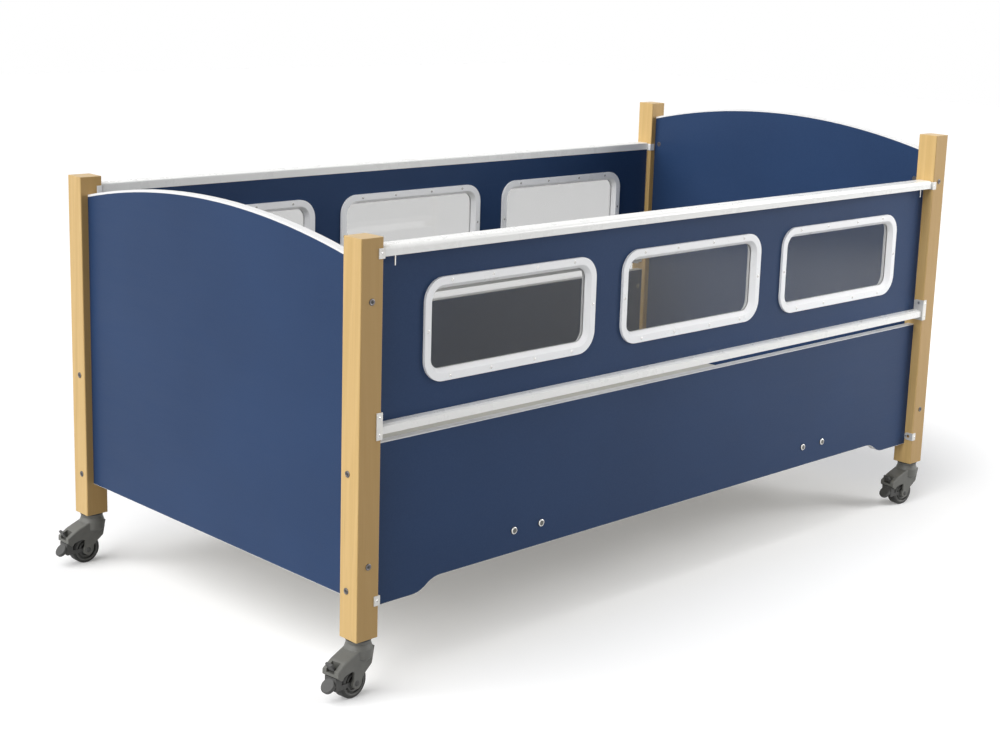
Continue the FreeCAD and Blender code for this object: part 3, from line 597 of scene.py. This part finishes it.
def make_lip_screws():
    """Round-headed screws through the lips that the keepers and hinge brackets fold onto the posts."""
    heads = bmesh.new()
    slot_shades = bmesh.new()
    from_lip_end = 6 * MM
    head_height = 1.0 * MM
    for node, heights in (("gate_keepers", (0,)), ("hinge_brackets", (-17 * MM, 17 * MM))):
        for low, high in solids_of(node):
            end = 1 if low.x > X_MID else -1
            way = -1 if low.y < 0 else 1
            x = (low.x if end < 0 else high.x) - end * from_lip_end
            y = low.y if way < 0 else high.y
            for height in heights:
                place = facing((x, y, (low.z + high.z) / 2 + height), (0, way, 0))
                add_turned(heads, [(0, head_height), (1.8 * MM, 0.8 * MM), (3.0 * MM, -0.1 * MM)], place, 20)
                top = turned_at_random(place) @ Matrix.Translation((0, 0, head_height))
                # a dark cross of painted shade stands for the recess in each screw head
                add_cross_recess_shade(slot_shades, top, 1.4 * MM)
    piece("lip_screws", heads, "frame", "nickel_screws", smooth=True)
    piece("lip_screw_slot_shades", slot_shades, "frame", "dark_steel")


def make_keeper_returns():
    """The upper keepers run on across the post's inner face and fold onto its face towards the cot."""
    bm = bmesh.new()
    post_side = POST_HIGH.y - POST_LOW.y
    clearance = 0.1 * MM
    overlap = 1.0 * MM
    lip_reach = 13 * MM
    shorter = 0.2 * MM
    for low, high in solids_of("gate_keepers"):
        if low.z + high.z < POST_LOW.z + POST_HIGH.z:
            continue
        end = 1 if low.x > X_MID else -1
        way = -1 if low.y < 0 else 1
        outer, rear = (low.y, high.y) if way < 0 else (high.y, low.y)
        sheet = abs(outer) - abs(Y_FRONT) - clearance
        x_post = high.x - sheet - clearance if end < 0 else low.x + sheet + clearance
        y_inner = (abs(Y_FRONT) - post_side) * way
        x_web, x_tip = x_post - end * sheet, x_post + end * lip_reach
        legs = (
            ((x_post, rear + way * overlap), (x_web, y_inner - way * sheet)),
            ((x_web, y_inner), (x_tip, y_inner - way * sheet)),
        )
        for first, second in legs:
            xs, ys = sorted((first[0], second[0])), sorted((first[1], second[1]))
            add_box(bm, (xs[0], ys[0], low.z + shorter), (xs[1], ys[1], high.z - shorter), ease=0.4 * MM)
    piece("keeper_returns", bm, "frame", "white_edging")


def make_angle_caps():
    """Shallow domed covers pressed over the caps of the bolts that carry the mattress base."""
    bm = bmesh.new()
    for low, high in solids_of("base_angle_bolts"):
        way = -1 if low.y < 0 else 1
        outer = low.y if way < 0 else high.y
        radius = (high.z - low.z) / 2
        place = facing(((low.x + high.x) / 2, outer, (low.z + high.z) / 2), (0, way, 0))
        add_turned(bm, [
            (0, 0.5 * MM), (radius * 0.55, 0.35 * MM), (radius * 0.85, -0.3 * MM),
            (radius * 1.03, -1.4 * MM), (radius * 1.03, -2.9 * MM),
        ], place, 28)
    piece("angle_bolt_covers", bm, "frame", "castor_grey", smooth=True)


def make_deck_screws():
    """Two countersunk screws where each deck board crosses a batten."""
    heads = bmesh.new()
    slot_shades = bmesh.new()
    from_board_edge = 25 * MM
    for board_low, board_high in solids_of("base_boards"):
        for batten_low, batten_high in solids_of("base_battens"):
            x = (batten_low.x + batten_high.x) / 2
            for y in (board_low.y + from_board_edge, board_high.y - from_board_edge):
                place = turned_at_random(facing((x, y, board_high.z), (0, 0, 1)))
                add_turned(heads, [(0, 0.25 * MM), (3.2 * MM, 0.15 * MM), (4.0 * MM, -0.1 * MM)], place, 20)
                # a dark cross of painted shade stands for the recess in each screw head
                add_cross_recess_shade(slot_shades, place @ Matrix.Translation((0, 0, 0.22 * MM)), 2.2 * MM)
    piece("deck_screws", heads, "frame", "nickel_screws", smooth=True)
    piece("deck_screw_slot_shades", slot_shades, "frame", "dark_steel")


# ------------------------------------------------------------------ castor details
def castor_places():
    """Each castor's swivel axis at the underside of its post, turned to trail as its wheel's axis says."""
    places = {}
    for corner in ("front_foot", "front_head", "back_foot", "back_head"):
        axis = JOINTS["wheel_" + corner + "_spin"]["axis"]
        turn = math.atan2(-axis[0], axis[1])
        swivel = Matrix.Translation(JOINTS["castor_" + corner + "_swivel"]["pos_m"])
        places[corner] = swivel @ Matrix.Rotation(turn, 4, "Z")
    return places


def add_castor_tab(bm, place):
    """Ribbed release tab that leans back out of the notch of the hood."""
    foot = Matrix.Translation((-64 * MM, 0, -54 * MM))
    lean = place @ foot @ Matrix.Rotation(math.radians(-36), 4, "Y")
    add_box(bm, (-3 * MM, -9 * MM, 0), (2.5 * MM, 9 * MM, 26 * MM), lean, 1.2 * MM)
    first_rib, rib_pitch, rib_width = 8, 3.6, 1.5 * MM
    for k in range(5):
        z = (first_rib + rib_pitch * k) * MM
        add_box(bm, (-3.8 * MM, -7.5 * MM, z), (-2.5 * MM, 7.5 * MM, z + rib_width), lean, 0.3 * MM)


def add_wheel_rings(bm, place, half, hub_radius):
    """Raised rings on both sides of the hub: one on its rim, one standing in the dish."""
    shoulder = 0.5 * MM
    for way in (-1, 1):
        side = place @ facing((0, way * half, 0), (0, way, 0))
        for share, height, drop in ((0.925, 0.9 * MM, -0.3 * MM), (0.62, 0.7 * MM, -6.2 * MM)):
            middle, width = hub_radius * share, hub_radius * 0.06
            inner, outer = middle - width, middle + width
            add_turned(bm, [
                (inner, drop), (inner + shoulder, height * 0.8), (middle, height),
                (outer - shoulder, height * 0.8), (outer, drop),
            ], side, 40)


def add_axle_caps(bm, place, cheek):
    """Shallow cap over each end of the axle, on the outside of the fork."""
    for way in (-1, 1):
        side = place @ facing((0, way * cheek, 0), (0, way, 0))
        add_turned(bm, [
            (0, 1.6 * MM), (3.2 * MM, 1.6 * MM), (5.6 * MM, 1.0 * MM), (6.4 * MM, -BURIED),
        ], side, 24)


def make_castor_details():
    tyre_low, tyre_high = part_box("castor_back_foot_tyre")
    hub_low, hub_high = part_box("castor_back_foot_hub")
    half = (tyre_high.y - tyre_low.y) / 2
    hub_radius = (hub_high.z - hub_low.z) / 2
    cheek = (hub_high.y - hub_low.y) / 2
    for corner, place in castor_places().items():
        wheel = place.copy()
        wheel.translation = Vector(JOINTS["wheel_" + corner + "_spin"]["pos_m"])
        tab = bmesh.new()
        add_castor_tab(tab, place)
        piece("castor_tab_" + corner, tab, "castor_" + corner, "castor_pedal")
        rings = bmesh.new()
        add_wheel_rings(rings, wheel, half, hub_radius)
        piece("wheel_rings_" + corner, rings, "wheel_" + corner, "castor_hub", smooth=True)
        caps = bmesh.new()
        add_axle_caps(caps, wheel, cheek)
        piece("axle_caps_" + corner, caps, "castor_" + corner, "castor_pedal", smooth=True)
        collar = bmesh.new()
        add_turned(collar, [
            (20 * MM, -0.1 * MM), (26.2 * MM, -0.1 * MM), (26.2 * MM, -3.4 * MM), (25.1 * MM, -3.8 * MM),
        ], place, 48)
        piece("collar_gasket_" + corner, collar, "frame", "castor_tread")


def make_pieces():
    make_edge_bands()
    make_screw_recesses()
    make_bolt_rings()
    make_lip_screws()
    make_keeper_returns()
    make_angle_caps()
    make_deck_screws()
    make_castor_details()


finishes = make_finishes()
dress_cad_nodes(finishes)
make_pieces()
make_studio()
